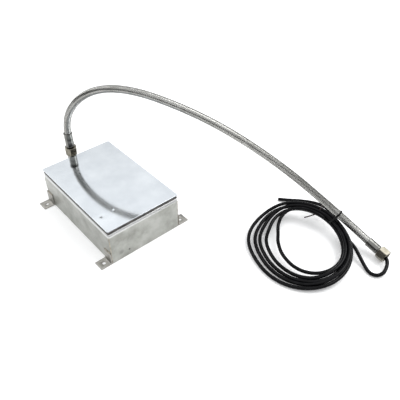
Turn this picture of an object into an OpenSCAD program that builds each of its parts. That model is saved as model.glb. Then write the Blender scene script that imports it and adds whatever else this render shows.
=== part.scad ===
// Immersible ultrasonic transducer box.
// A welded stainless box with six bolted transducers bonded under its top plate,
// a swivel union on one end, a braided conduit hose, and a cable that leaves the
// hose through a second swivel nut and lies in a loose coil.
// +X runs along the box away from the union, +Z up, origin at the centre of the
// four bracket holes on the plane that the feet stand on.

/* [Box] */
// Length of the box
box_l = 300; // [260:5:420]
// Width of the box
box_w = 195; // [180:5:260]
// Height of the box to the radiating face
box_h = 100; // [95:1:120]
// Thickness of the side walls
wall_t = 2; // [1.5:0.5:3]
// Thickness of the radiating plate
plate_t = 3; // [2:0.5:4]
// Outside radius of the upright corners
corner_r = 4; // [2:0.5:8]
// Radius of the bend where the walls turn in at the top
shoulder_r = 9; // [6:1:10]
// Height of the recessed frame between the walls and the radiating plate
frame_h = 7; // [4:0.5:9]

/* [Brackets] */
// Width of each bracket along the box
foot_w = 28; // [20:1:40]
// How far each foot reaches out from the box
foot_out = 29; // [24:1:40]
// Height of the leg welded to the wall
leg_h = 32; // [20:1:45]
// Thickness of the bracket sheet
foot_t = 2.5; // [2:0.5:4]
// Diameter of the fixing hole
hole_d = 9; // [6:0.5:11]

/* [Union and hose] */
// Distance from the end wall to the upright union axis
union_out = 27; // [26:1:34]
// Height of the outlet pipe axis on the end wall
outlet_z = 46; // [40:1:52]
// Nut size across the flats
nut_af = 28; // [27:0.5:32]
// Length of each nut
nut_h = 21; // [18:1:24]
// Outside diameter of the crimped ferrules
ferrule_d = 22.5; // [21:0.5:24]
// Length of the ferrule at the box end
near_ferrule_l = 40; // [30:1:45]
// Length of the ferrule at the cable end
far_ferrule_l = 30; // [26:1:36]
// Outside diameter of the braided hose
hose_d = 18; // [17:0.5:18.5]
// Bore of the braided hose
hose_bore = 12; // [11:0.5:12.5]

/* [Cable] */
// Outside diameter of the cable
cable_d = 8.5; // [6:0.5:8.5]

/* [Transducers] */
// Transducers along the box
trans_nx = 3; // [2:1:3]
// Transducers across the box
trans_ny = 2; // [1:1:2]
// Pitch along the box
trans_px = 92; // [70:1:95]
// Pitch across the box
trans_py = 84; // [70:1:90]
// Diameter of the wide face of the front mass
front_d = 58; // [50:1:60]
// Diameter of the piezo rings and the back mass
piezo_d = 40; // [35:1:42]
// Thickness of one piezo ring
piezo_t = 5; // [4:0.5:6]

/* [Hidden] */
$fn = 64;
SMALL_FN = 32;
FIT = 0.4;            // running gap between a nut and what it turns on
LIP_T = 3;            // back wall of a nut
NECK_D = 14;          // stem neck inside the nut's back wall
COLLAR_D = 20.4;      // stem collar inside the nut
COLLAR_T = 3;
THREAD_D = 20.8;      // pipe thread envelope
NUT_BORE = THREAD_D + 2 * FIT;
NECK_GAP = 2.4;       // bare neck between ferrule and nut
GASKET_T = 2;
PIPE_D = 20;
PIPE_BORE = 16;
ELBOW_R = 22;
FLANGE_D = 34;
FLANGE_T = 3;
BEAD = 2.2;           // weld bead diameter
WIRE_D = 1.6;
TUBE_SIDES = 12;
CABLE_SIDES = 8;
EPS = 0.01;

wall_top = box_h - plate_t - frame_h;
ledge = shoulder_r + 4;                 // how far the walls turn in at the top
hx = box_l / 2;
hy = box_w / 2;
hole_x = hx - foot_w / 2;
hole_y = hy + foot_out / 2;

union_x = -hx - union_out;
union_nut_z = 90;                       // underside of the union nut
near_stem_z = union_nut_z + nut_h + NECK_GAP + near_ferrule_l; // hose end of the ferrule
elbow_top_z = outlet_z + ELBOW_R;

// Route of the hose: up out of the union, over the box and down beside the coil.
HOSE_END = [502, 380, 26];
HOSE_ROUTE = [
    [-177, 0, 122], [-177, 0, 152], [-175, 2, 180], [-168, 7, 208], [-156, 15, 231], [-141, 24, 252],
    [-120, 37, 272], [-97, 52, 287], [-70, 70, 297], [-36, 91, 302], [4, 117, 299], [43, 143, 289],
    [88, 171, 275], [133, 201, 256], [180, 231, 232], [227, 262, 202], [275, 293, 168],
    [324, 325, 129], [362, 345, 99], [398, 362, 73], [434, 374, 51], [468, 380, 36], HOSE_END,
    [525, 378.6, 22.3]
];
HOSE_SIDE = [-0.54, 0.84, 0];           // level direction square to the hose's arch

// The far fitting points along the floor, slightly downhill.
far_pitch = 9.3;
far_turn = -3.6;

// The cable inside the box, the outlet and the hose.
CABLE_START = [[-118, 0, 46], [-135, 0, 46], [-158, 0, 46.5], [-169, 0, 50], [-175, 0, 58],
    [-177, 0, 70], [-177, 0, 96]];
CABLE_END = [[542, 377.5, 19.5]];
CABLE_ROUTE = concat(CABLE_START, HOSE_ROUTE, CABLE_END);

// The free loop from the end nut round to the coil.
LOOP_ROUTE = [
    [542, 377.5, 19.5], [551, 376.2, 18], [558.5, 372.8, 16.6], [564.5, 366.5, 15], [569.5, 357, 13],
    [573, 346, 10.5], [574, 337, 8.5], [570, 327, 6.3], [561, 320.5, 5], [550, 320, 4.8],
    [539, 324.5, 5.8], [523, 332, 9], [506, 340, 14], [492, 346, 19]
];

// The coil lies in a plane that rises towards the tie.
coil_pos = [396, 262, 18.5];
coil_tilt = 6.3;
coil_outer_r = 131;
coil_inner_r = 72;
coil_inner_shift = [10, 20];
coil_low = -4.2;
coil_high = 9;
coil_flat_at = 112;                     // distance of the side that is drawn flat against the hose
coil_flat_turn = 50;

// The tail leaves the outside of the coil and ends cut square.
TAIL_ROUTE = [
    [357, 393, 33], [340, 393, 29], [322, 390, 24], [303, 384.5, 18], [284, 377, 12], [266, 367, 7],
    [247, 355, 4.6]
];

tie_hose_at = [418, 368.6, 60.8];
tie_hose_turn = [0, 119.6, 18];           // square to the hose where it slopes down past the coil
tie_hose_reach = [21.7, 1.6];            // from the hose to the bunched cable, in the tie's plane
tie_coil_at = [364, 378, 33];

inner_top = box_h - plate_t;
bond_t = 0.5;
front_h = 20;
electrode_t = 0.4;
back_h = 22;
z_front = inner_top - bond_t - front_h;          // underside of the front mass
z_piezo_1 = z_front - piezo_t;
z_electrode = z_piezo_1 - electrode_t;
z_piezo_2 = z_electrode - piezo_t;
z_ground = z_piezo_2 - electrode_t;
z_back = z_ground - back_h;

// ---- helpers ----

function unit(v) = v / norm(v);
function tangent(path, i) =
    unit(path[min(i + 1, len(path) - 1)] - path[max(i - 1, 0)]);
function ring_points(path, i, r, sides, side) =
    let (t = tangent(path, i), u = unit(cross(side, t)), v = cross(t, u))
    [for (j = [0:sides - 1]) path[i] + r * (cos(360 * j / sides) * u + sin(360 * j / sides) * v)];
function all_rings(path, r, sides, side) =
    [for (i = [0:len(path) - 1]) each ring_points(path, i, r, sides, side)];
function wall_faces(rings, sides, first, outward) =
    [for (i = [0:rings - 2], j = [0:sides - 1])
        let (a = first + i * sides + j, b = first + i * sides + (j + 1) % sides)
        outward ? [a, a + sides, b + sides, b] : [a, b, b + sides, a + sides]];
function end_faces(rings, sides, inner) =
    let (last = (rings - 1) * sides)
    [for (j = [0:sides - 1])
        let (k = (j + 1) % sides) each [
            [j, k, inner + k, inner + j],
            [last + k, last + j, inner + last + j, inner + last + k]]];

// A solid round bar swept along a path.
module bar(path, d, sides, side) {
    rings = len(path);
    last = (rings - 1) * sides;
    polyhedron(
        points = all_rings(path, d / 2, sides, side),
        faces = concat(
            [[for (j = [0:sides - 1]) j]],
            wall_faces(rings, sides, 0, true),
            [[for (j = [sides - 1:-1:0]) last + j]]));
}

// A hollow round tube swept along a path.
module tube(path, d, bore, sides, side) {
    rings = len(path);
    inner = rings * sides;
    polyhedron(
        points = concat(all_rings(path, d / 2, sides, side), all_rings(path, bore / 2, sides, side)),
        faces = concat(
            wall_faces(rings, sides, 0, true),
            wall_faces(rings, sides, inner, false),
            end_faces(rings, sides, inner)));
}

module pipe(d, bore, h) {
    difference() {
        cylinder(d = d, h = h);
        translate([0, 0, -1]) cylinder(d = bore, h = h + 2);
    }
}

module rounded_slab(l, w, h, r) {
    linear_extrude(h) rounded_outline(l, w, r);
}

module rounded_outline(l, w, r) {
    union() {
        square([l - 2 * r, w], center = true);
        square([l, w - 2 * r], center = true);
        for (x = [-1, 1], y = [-1, 1]) translate([x * (l / 2 - r), y * (w / 2 - r)]) circle(r);
    }
}

// A block whose top edges are rounded along all four sides.
module shouldered_block(l, w, h, r, shoulder) {
    intersection() {
        rounded_slab(l, w, h, r);
        translate([0, w / 2, 0]) rotate([90, 0, 0]) linear_extrude(w) shoulder_outline(l, h, shoulder);
        translate([-l / 2, 0, 0]) rotate([90, 0, 90]) linear_extrude(l) shoulder_outline(w, h, shoulder);
    }
}

module shoulder_outline(l, h, r) {
    union() {
        translate([-l / 2, 0]) square([l, h - r]);
        translate([r - l / 2, 0]) square([l - 2 * r, h]);
        for (x = [-1, 1]) translate([x * (l / 2 - r), h - r]) circle(r);
    }
}

module each_transducer() {
    for (i = [0:trans_nx - 1], j = [0:trans_ny - 1])
        translate([(i - (trans_nx - 1) / 2) * trans_px, (j - (trans_ny - 1) / 2) * trans_py, 0])
            children();
}

// Local axis of the near fitting: +Z runs from the hose down to the box.
module at_near_fitting() {
    translate([union_x, 0, near_stem_z]) rotate([180, 0, 0]) children();
}

// Local axis of the far fitting: +Z runs from the hose to the open end.
module at_far_fitting() {
    translate(HOSE_END) rotate([0, 90 + far_pitch, far_turn]) children();
}

// ---- box ----

// The walls are bent inwards at the top and carry the frame on a flat ledge.
module wall_shell() {
    color("silver") difference() {
        shouldered_block(box_l, box_w, wall_top, corner_r, shoulder_r);
        translate([0, 0, -1]) shouldered_block(box_l - 2 * wall_t, box_w - 2 * wall_t,
            wall_top - wall_t + 1, corner_r - wall_t, shoulder_r - wall_t);
        rounded_slab(box_l - 2 * ledge, box_w - 2 * ledge, wall_top + 1, 2);
        translate([-hx - 1, 0, outlet_z]) rotate([0, 90, 0]) cylinder(d = PIPE_D, h = wall_t + 2);
    }
}

module wall_corner_welds() {
    inset = corner_r * (1 - cos(45));
    bottom = foot_t + 2;
    top = wall_top - shoulder_r - 2;
    color("tan") difference() {
        for (x = [-1, 1], y = [-1, 1]) translate([x * (hx - inset), y * (hy - inset), bottom])
            cylinder(d = BEAD, h = top - bottom, $fn = SMALL_FN);
        rounded_slab(box_l, box_w, wall_top, corner_r);
    }
}

module base_plate() {
    color("silver") rounded_slab(box_l - 2 * wall_t, box_w - 2 * wall_t, 2, corner_r - wall_t);
}

module base_weld_bead() {
    inner_l = box_l - 2 * wall_t;
    inner_w = box_w - 2 * wall_t;
    color("tan") translate([0, 0, 2]) difference() {
        rounded_slab(inner_l, inner_w, 2, corner_r - wall_t);
        translate([0, 0, -1]) rounded_slab(inner_l - 4, inner_w - 4, 4, 1);
    }
}

module radiating_plate() {
    color("lightsteelblue") translate([0, 0, inner_top]) rounded_slab(box_l, box_w, plate_t, corner_r);
}

// A flat bar frame, set back a little from the walls and the plate.
module plate_frame() {
    inset = 1.5;
    width = 9.5;
    inner = 2 * (inset + width);
    color("dimgray") translate([0, 0, wall_top]) difference() {
        rounded_slab(box_l - 2 * inset, box_w - 2 * inset, frame_h, corner_r - inset);
        translate([0, 0, -1]) rounded_slab(box_l - inner, box_w - inner, frame_h + 2, 1);
    }
}

// ---- brackets ----

module bracket(x, y) {
    color("gray") translate([x * hole_x, y * hy, 0]) mirror([0, y < 0 ? 1 : 0, 0]) difference() {
        union() {
            translate([-foot_w / 2, 0, 0]) cube([foot_w, foot_out, foot_t]);
            translate([-foot_w / 2, 0, 0]) cube([foot_w, foot_t, leg_h]);
        }
        translate([0, foot_out / 2, -1]) cylinder(d = hole_d, h = foot_t + 2);
    }
}

module bracket_front_left() { bracket(-1, -1); }
module bracket_front_right() { bracket(1, -1); }
module bracket_back_left() { bracket(-1, 1); }
module bracket_back_right() { bracket(1, 1); }

module bracket_welds() {
    color("tan") for (x = [-1, 1], y = [-1, 1])
        translate([x * hole_x, y * (hy + 0.9), leg_h + 0.9]) rotate([0, 90, 0])
            cylinder(d = 1.8, h = foot_w - 4, center = true, $fn = SMALL_FN);
}

// ---- outlet, union and hose fittings ----

module outlet_flange() {
    color("gray") translate([-hx - FLANGE_T, 0, outlet_z]) rotate([0, 90, 0])
        pipe(FLANGE_D, PIPE_D, FLANGE_T);
}

module outlet_elbow() {
    straight = union_out - ELBOW_R + wall_t;
    color("gray") union() {
        translate([union_x + ELBOW_R, 0, outlet_z]) rotate([0, 90, 0]) pipe(PIPE_D, PIPE_BORE, straight);
        translate([union_x + ELBOW_R, 0, elbow_top_z]) rotate([90, 0, 0]) rotate([0, 0, 180])
            rotate_extrude(angle = 90) translate([ELBOW_R, 0]) difference() {
                circle(d = PIPE_D);
                circle(d = PIPE_BORE);
            }
        translate([union_x, 0, elbow_top_z]) pipe(PIPE_D, PIPE_BORE, 6);
    }
}

// The adapter is welded on the elbow: a round collar below, the thread above.
module threaded_adapter() {
    base_z = elbow_top_z + 6;
    thread_top = union_nut_z + nut_h - LIP_T - FIT - COLLAR_T - GASKET_T;
    collar_h = union_nut_z - 3 - base_z;
    color("gray") translate([union_x, 0, base_z]) difference() {
        union() {
            cylinder(d = 25, h = collar_h);
            cylinder(d = THREAD_D, h = thread_top - base_z);
        }
        translate([0, 0, -1]) cylinder(d = PIPE_BORE, h = thread_top - base_z + 2);
    }
}

module union_gasket() {
    top = union_nut_z + nut_h - LIP_T - FIT - COLLAR_T;
    color("black") translate([union_x, 0, top - GASKET_T]) pipe(COLLAR_D - 0.4, PIPE_BORE, GASKET_T);
}

// A swivel nut in fitting coordinates, its lip towards the hose.
module swivel_nut(start) {
    translate([0, 0, start]) difference() {
        intersection() {
            cylinder(d = nut_af / cos(30), h = nut_h, $fn = 6);
            nut_chamfer();
        }
        translate([0, 0, -1]) cylinder(d = NECK_D + 2 * FIT, h = LIP_T + 2);
        translate([0, 0, LIP_T]) cylinder(d = NUT_BORE, h = nut_h);
    }
}

module nut_chamfer() {
    corner = nut_af / cos(30) / 2;
    cut = 1.6;
    rotate_extrude() polygon([[0, 0], [corner - cut, 0], [corner + 0.2, cut], [corner + 0.2, nut_h - cut],
        [corner - cut, nut_h], [0, nut_h]]);
}

// A stem in fitting coordinates: barb inside the hose, neck, and collar inside the nut.
module hose_stem(ferrule_l) {
    neck_end = ferrule_l + NECK_GAP + LIP_T + FIT;
    difference() {
        union() {
            translate([0, 0, 6]) cylinder(d = hose_bore - 0.4, h = ferrule_l - 6 + EPS);
            translate([0, 0, ferrule_l - 3]) cylinder(d = NECK_D, h = neck_end - ferrule_l + 3);
            translate([0, 0, neck_end]) cylinder(d = COLLAR_D, h = COLLAR_T);
        }
        translate([0, 0, -1]) cylinder(d = cable_d + 1.2, h = neck_end + COLLAR_T + 2);
    }
}

// A crimped ferrule in fitting coordinates, closed round the stem's neck.
module ferrule(ferrule_l) {
    difference() {
        rotate_extrude() polygon([[0, 0], [ferrule_d / 2 - 1, 0], [ferrule_d / 2, 1],
            [ferrule_d / 2, ferrule_l - 1.5], [ferrule_d / 2 - 1.5, ferrule_l], [0, ferrule_l]]);
        translate([0, 0, -1]) cylinder(d = hose_d + 0.6, h = ferrule_l - 3 + 1);
        translate([0, 0, ferrule_l - 4]) cylinder(d = NECK_D, h = 6);
    }
}

module union_nut() { color("darkgray") at_near_fitting() swivel_nut(near_ferrule_l + NECK_GAP); }
module near_hose_stem() { color("gray") at_near_fitting() hose_stem(near_ferrule_l); }
module near_ferrule() { color("silver") at_near_fitting() ferrule(near_ferrule_l); }
module end_nut() { color("darkgray") at_far_fitting() swivel_nut(far_ferrule_l + NECK_GAP); }
module far_hose_stem() { color("gray") at_far_fitting() hose_stem(far_ferrule_l); }
module far_ferrule() { color("silver") at_far_fitting() ferrule(far_ferrule_l); }

module cable_bush() {
    start = far_ferrule_l + NECK_GAP + LIP_T + FIT + COLLAR_T;
    color("black") at_far_fitting() translate([0, 0, start]) pipe(17, cable_d + 1.2, 2.5);
}

module braided_hose() {
    color("lightgray") tube(HOSE_ROUTE, hose_d, hose_bore, TUBE_SIDES, HOSE_SIDE);
}

// ---- cable ----

module cable_in_hose() { color("black") bar(CABLE_ROUTE, cable_d, CABLE_SIDES, HOSE_SIDE); }
module cable_loop() { color("black") bar(LOOP_ROUTE, cable_d, CABLE_SIDES, [0, 0, 1]); }
module cable_tail() { color("black") bar(TAIL_ROUTE, cable_d, CABLE_SIDES, [0, 0, 1]); }

module cable_coil() {
    color("black") translate(coil_pos) rotate([coil_tilt, 0, 0]) translate([0, 0, coil_low])
        difference() {
            cylinder(r = coil_outer_r, h = coil_high - coil_low, $fn = 96);
            translate([coil_inner_shift.x, coil_inner_shift.y, -1])
                cylinder(r = coil_inner_r, h = coil_high - coil_low + 2, $fn = 96);
            rotate([0, 0, coil_flat_turn]) translate([coil_flat_at, -coil_outer_r, -1])
                cube([coil_outer_r, 2 * coil_outer_r, coil_high - coil_low + 2]);
        }
}

module hose_tie() {
    color("black") translate(tie_hose_at) rotate(tie_hose_turn) linear_extrude(3.6, center = true)
        difference() {
            tie_outline(11, 13);
            tie_outline(9.6, 11.6);
        }
}

module tie_outline(hose_r, bunch_r) {
    hull() {
        circle(r = hose_r, $fn = SMALL_FN);
        translate(tie_hose_reach) circle(r = bunch_r, $fn = SMALL_FN);
    }
}

module coil_tie() {
    color("saddlebrown") translate(tie_coil_at) rotate([0, 0, 15]) {
        rotate([0, 90, 0]) pipe(30, 27.4, 2);
        translate([1, -14, 0]) rotate([100, 0, -40]) cylinder(d = 2, h = 40, $fn = 16);
    }
}

// ---- inside the box ----

module bond_discs() {
    color("khaki") each_transducer() translate([0, 0, inner_top - bond_t])
        cylinder(d = front_d, h = bond_t);
}

module front_masses() {
    color("gainsboro") each_transducer() translate([0, 0, z_front]) difference() {
        rotate_extrude() polygon([[0, 0], [piezo_d / 2, 0], [piezo_d / 2, 6], [front_d / 2, front_h - 4],
            [front_d / 2, front_h], [0, front_h]]);
        translate([0, 0, -1]) cylinder(d = 10, h = front_h - 4);
    }
}

module piezo_ring(z) {
    color("dimgray") each_transducer() translate([0, 0, z]) pipe(piezo_d, 15, piezo_t);
}

module electrode(z, tab_side) {
    color("orange") each_transducer() translate([0, 0, z]) {
        pipe(piezo_d, 15, electrode_t);
        translate([-3, tab_side > 0 ? piezo_d / 2 - 1 : -piezo_d / 2 - 7, 0])
            cube([6, 8, electrode_t]);
    }
}

module upper_piezo_rings() { piezo_ring(z_piezo_1); }
module live_electrodes() { electrode(z_electrode, 1); }
module lower_piezo_rings() { piezo_ring(z_piezo_2); }
module earth_electrodes() { electrode(z_ground, -1); }

module back_masses() {
    color("gray") each_transducer() translate([0, 0, z_back]) pipe(piezo_d, 11, back_h);
}

module preload_bolts() {
    shank_top = z_front + front_h - 6;
    color("black") each_transducer() {
        translate([0, 0, z_back]) cylinder(d = 9.8, h = shank_top - z_back);
        translate([0, 0, z_back - 8]) difference() {
            cylinder(d = 16, h = 8);
            translate([0, 0, -1]) cylinder(d = 8 / cos(30), h = 5, $fn = 6);
        }
    }
}

// One wire past every tab of a row, and one link beyond the last transducer that joins the rows.
module bus_wire(z, tab_side) {
    run = (trans_nx - 1) * trans_px / 2 + piezo_d / 2 + 6;
    tab_y = tab_side * (piezo_d / 2 + 5);
    for (j = [0:trans_ny - 1])
        translate([-run, row_y(j) + tab_y, z]) rotate([0, 90, 0])
            cylinder(d = WIRE_D, h = 2 * run - piezo_d / 2, $fn = SMALL_FN);
    translate([-run, row_y(0) + tab_y, z]) rotate([-90, 0, 0])
        cylinder(d = WIRE_D, h = (trans_ny - 1) * trans_py, $fn = SMALL_FN);
}

function row_y(j) = (j - (trans_ny - 1) / 2) * trans_py;

module live_bus_wire() { color("red") bus_wire(z_electrode - 0.8, 1); }
module earth_bus_wire() { color("green") bus_wire(z_ground - 0.8, -1); }

module terminal_block() {
    color("ivory") difference() {
        translate([-110, -12, 24]) cube([14, 24, 14]);
        for (y = [-6, 6]) translate([-103, y, 30]) cylinder(d = 4, h = 9, $fn = SMALL_FN);
    }
    color("ivory") translate([-108, -8, 2]) cube([10, 16, 22]);
}

module terminal_screws() {
    color("gold") for (y = [-6, 6]) translate([-103, y, 30]) cylinder(d = 4, h = 6, $fn = SMALL_FN);
}

module earth_lug() {
    color("gold") translate([-hx + wall_t, 40, 60]) rotate([0, 90, 0]) {
        cylinder(d = 6, h = 10, $fn = SMALL_FN);
        translate([0, 0, 3]) cylinder(d = 12, h = 1, $fn = SMALL_FN);
    }
}

wall_shell();
wall_corner_welds();
base_plate();
base_weld_bead();
radiating_plate();
plate_frame();
bracket_front_left();
bracket_front_right();
bracket_back_left();
bracket_back_right();
bracket_welds();
outlet_flange();
outlet_elbow();
threaded_adapter();
union_gasket();
union_nut();
near_hose_stem();
near_ferrule();
braided_hose();
far_hose_stem();
far_ferrule();
end_nut();
cable_bush();
cable_in_hose();
cable_loop();
cable_coil();
cable_tail();
hose_tie();
coil_tie();
bond_discs();
front_masses();
upper_piezo_rings();
live_electrodes();
lower_piezo_rings();
earth_electrodes();
back_masses();
preload_bolts();
live_bus_wire();
earth_bus_wire();
terminal_block();
terminal_screws();
earth_lug();
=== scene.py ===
import math

import bmesh
import bpy
import numpy as np
from mathutils import Matrix, Vector
from mathutils.geometry import delaunay_2d_cdt


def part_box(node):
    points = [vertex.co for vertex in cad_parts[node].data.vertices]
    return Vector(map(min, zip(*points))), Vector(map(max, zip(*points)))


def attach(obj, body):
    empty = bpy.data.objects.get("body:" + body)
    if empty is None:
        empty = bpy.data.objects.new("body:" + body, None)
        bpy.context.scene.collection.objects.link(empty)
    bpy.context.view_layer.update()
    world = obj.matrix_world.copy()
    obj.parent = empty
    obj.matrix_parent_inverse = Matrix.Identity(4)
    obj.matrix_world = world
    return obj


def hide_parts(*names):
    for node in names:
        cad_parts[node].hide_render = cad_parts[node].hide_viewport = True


MM = 0.001
BOX_BODY = "transducer_box"

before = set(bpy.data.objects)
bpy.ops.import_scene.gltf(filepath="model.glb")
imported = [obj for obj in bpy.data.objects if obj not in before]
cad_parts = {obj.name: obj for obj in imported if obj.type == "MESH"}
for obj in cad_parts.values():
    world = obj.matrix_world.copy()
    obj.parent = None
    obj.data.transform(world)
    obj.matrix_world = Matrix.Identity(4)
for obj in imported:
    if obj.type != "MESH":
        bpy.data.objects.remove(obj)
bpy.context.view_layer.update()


# ---- points and curves, all in millimetres in the frame of the CAD ----

def unit(vectors):
    return vectors / np.linalg.norm(vectors, axis=-1, keepdims=True)


def node_box(node):
    """Lowest and highest corners of a CAD node, in millimetres."""
    low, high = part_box(node)
    return np.array(low) / MM, np.array(high) / MM


def b_spline(points, step):
    """A smooth cubic through the neighbourhood of the points, evenly spaced, from the first to the last."""
    points = np.array(points, float)
    ends = [2 * points[0] - points[1]], [2 * points[-1] - points[-2]]
    control = np.vstack([ends[0], points, ends[1]])
    pieces = []
    for i in range(len(points) - 1):
        a, b, c, d = control[i:i + 4]
        t = np.linspace(0, 1, 24, endpoint=False)[:, None]
        pieces.append(((1 - t) ** 3 * a + (3 * t ** 3 - 6 * t ** 2 + 4) * b
                       + (-3 * t ** 3 + 3 * t ** 2 + 3 * t + 1) * c + t ** 3 * d) / 6)
    pieces.append(points[-1:])
    return resample(np.vstack(pieces), step)


def resample(points, step):
    lengths = distances_along(points)
    at = np.linspace(0, lengths[-1], max(2, round(lengths[-1] / step)) + 1)
    return np.stack([np.interp(at, lengths, points[:, k]) for k in range(3)], axis=1)


def distances_along(path):
    """Distance from the start to each point of a path."""
    return np.r_[0, np.cumsum(np.linalg.norm(np.diff(path, axis=0), axis=1))]


def closed_line(outline, step):
    """Evenly spaced points round a flat closed outline, and the directions that point out of it."""
    closed = np.c_[np.vstack([outline, outline[:1]]), np.zeros(len(outline) + 1)]
    line = resample(closed, step)[:-1, :2]
    tangent = unit(np.roll(line, -1, 0) - np.roll(line, 1, 0))
    return line, np.stack([tangent[:, 1], -tangent[:, 0]], 1)


def path_length(path):
    return float(np.linalg.norm(np.diff(path, axis=0), axis=1).sum())


def frames_along(path):
    """Two side vectors at each point of a path, square to it and to each other, that don't twist."""
    tangents = unit(np.gradient(path, axis=0))
    side = np.cross(tangents[0], [0.3, 0.5, 0.81])
    sides = []
    for tangent in tangents:
        side = side - tangent * (side @ tangent)
        side = side / np.linalg.norm(side)
        sides.append(side)
    sides = np.array(sides)
    return sides, np.cross(tangents, sides)


def circles_along(path, sides):
    """Circles of radius 1 square to a path, one for each of its points, about the origin."""
    u, v = frames_along(path)
    angles = np.linspace(0, 2 * math.pi, sides, endpoint=False)
    return np.cos(angles)[None, :, None] * u[:, None, :] + np.sin(angles)[None, :, None] * v[:, None, :]


# ---- meshes ----

def make_mesh(name, vertices, faces, uvs=None):
    """A mesh object from millimetre vertices. uvs is one (u, v) for each corner of each face."""
    mesh = bpy.data.meshes.new(name)
    mesh.from_pydata((np.asarray(vertices) * MM).tolist(), [], [list(map(int, f)) for f in faces])
    if uvs is not None:
        layer = mesh.uv_layers.new(name="UVMap")
        layer.data.foreach_set("uv", np.asarray(uvs, np.float32).ravel())
    mesh.update()
    obj = bpy.data.objects.new(name, mesh)
    bpy.context.scene.collection.objects.link(obj)
    return obj


def smooth(obj, degrees=32):
    """Smooth shading that keeps edges sharper than the angle."""
    bpy.ops.object.select_all(action="DESELECT")
    obj.select_set(True)
    bpy.context.view_layer.objects.active = obj
    bpy.ops.object.shade_smooth_by_angle(angle=math.radians(degrees))
    return obj


def dress(obj, material, degrees=32):
    """Gives a mesh its one material and its shading."""
    obj.data.materials.clear()
    obj.data.materials.append(material)
    return smooth(obj, degrees)


def fix_normals(obj, gap=1e-6):
    """Merges vertices closer than a gap, in metres, and turns the faces outwards."""
    mesh = bmesh.new()
    mesh.from_mesh(obj.data)
    bmesh.ops.remove_doubles(mesh, verts=mesh.verts, dist=gap)
    bmesh.ops.recalc_face_normals(mesh, faces=mesh.faces)
    mesh.to_mesh(obj.data)
    mesh.free()


def apply_modifiers(obj):
    bpy.context.view_layer.update()
    evaluated = obj.evaluated_get(bpy.context.evaluated_depsgraph_get())
    mesh = bpy.data.meshes.new_from_object(evaluated)
    obj.modifiers.clear()
    obj.data = mesh
    return obj


def join(name, objects):
    bpy.ops.object.select_all(action="DESELECT")
    for obj in objects:
        obj.select_set(True)
    bpy.context.view_layer.objects.active = objects[0]
    if len(objects) > 1:
        bpy.ops.object.join()
    objects[0].name = name
    objects[0].data.name = name
    return objects[0]


def grid_faces(rows, columns, wrap):
    """Quads over rows of points; wrap closes each row."""
    across = columns if wrap else columns - 1
    i, j = np.meshgrid(np.arange(rows - 1), np.arange(across), indexing="ij")
    k = (j + 1) % columns
    quads = np.stack([i * columns + j, i * columns + k, (i + 1) * columns + k, (i + 1) * columns + j], -1)
    return quads.reshape(-1, 4)


def sweep(name, path, radius, sides):
    """A capped round tube along a path; radius is a number or one for each point."""
    radii = np.broadcast_to(np.asarray(radius, float), (len(path),))
    vertices = (path[:, None, :] + radii[:, None, None] * circles_along(path, sides)).reshape(-1, 3)
    faces = grid_faces(len(path), sides, True).tolist()
    last = (len(path) - 1) * sides
    faces.append(list(range(sides - 1, -1, -1)))
    faces.append([last + j for j in range(sides)])
    return make_mesh(name, vertices, faces)


def lathe(name, profile, matrix, sides=64):
    """A closed profile of (radius, height) points turned about local Z, then placed by a matrix."""
    angles = np.linspace(0, 2 * math.pi, sides, endpoint=False)
    rows = []
    for radius, height in profile:
        rows.append(np.stack([radius * np.cos(angles), radius * np.sin(angles), np.full(sides, height)], 1))
    return placed_rows(name, rows, matrix, sides)


def turned(name, profile, matrix, sides, material, degrees=30):
    """A finished turned part."""
    part = lathe(name, profile, matrix, sides)
    fix_normals(part)
    return dress(part, material, degrees)


def placed_rows(name, rows, matrix, sides):
    """Closed skin over rings that end where they start, such as a turned part with a bore."""
    count = len(rows)
    vertices = np.vstack(rows)
    i, j = np.meshgrid(np.arange(count), np.arange(sides), indexing="ij")
    i2, k = (i + 1) % count, (j + 1) % sides
    faces = np.stack([i * sides + j, i * sides + k, i2 * sides + k, i2 * sides + j], -1).reshape(-1, 4)
    local = np.c_[vertices, np.ones(len(vertices))] @ np.array(matrix).T
    return make_mesh(name, local[:, :3], faces)


def rotation_z(degrees):
    return Matrix.Rotation(math.radians(degrees), 4, "Z")


# ---- materials ----

def new_material(name):
    material = bpy.data.materials.new(name)
    material.use_nodes = True
    nodes = material.node_tree.nodes
    return material, nodes, material.node_tree.links, nodes["Principled BSDF"]


def coordinates(nodes, links, scale=(1, 1, 1), kind="Object"):
    source = nodes.new("ShaderNodeTexCoord")
    mapping = nodes.new("ShaderNodeMapping")
    mapping.inputs["Scale"].default_value = scale
    links.new(source.outputs[kind], mapping.inputs["Vector"])
    return mapping.outputs["Vector"]


def noise(nodes, links, vector, scale, detail=4.0, roughness=0.55):
    texture = nodes.new("ShaderNodeTexNoise")
    texture.inputs["Scale"].default_value = scale
    texture.inputs["Detail"].default_value = detail
    texture.inputs["Roughness"].default_value = roughness
    links.new(vector, texture.inputs["Vector"])
    return texture.outputs["Fac"]


def ramp(nodes, links, factor, low, high, low_at=0.35, high_at=0.65):
    """Colour or grey that runs from low to high as the factor does."""
    node = nodes.new("ShaderNodeValToRGB")
    for element, value, at in zip(node.color_ramp.elements, (low, high), (low_at, high_at)):
        element.position = at
        element.color = (*value, 1) if isinstance(value, tuple) else (value, value, value, 1)
    links.new(factor, node.inputs["Fac"])
    return node.outputs["Color"]


def bump(nodes, links, height, distance, strength=1.0, normal=None):
    node = nodes.new("ShaderNodeBump")
    node.inputs["Distance"].default_value = distance * MM
    node.inputs["Strength"].default_value = strength
    links.new(height, node.inputs["Height"])
    if normal is not None:
        links.new(normal, node.inputs["Normal"])
    return node.outputs["Normal"]


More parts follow.
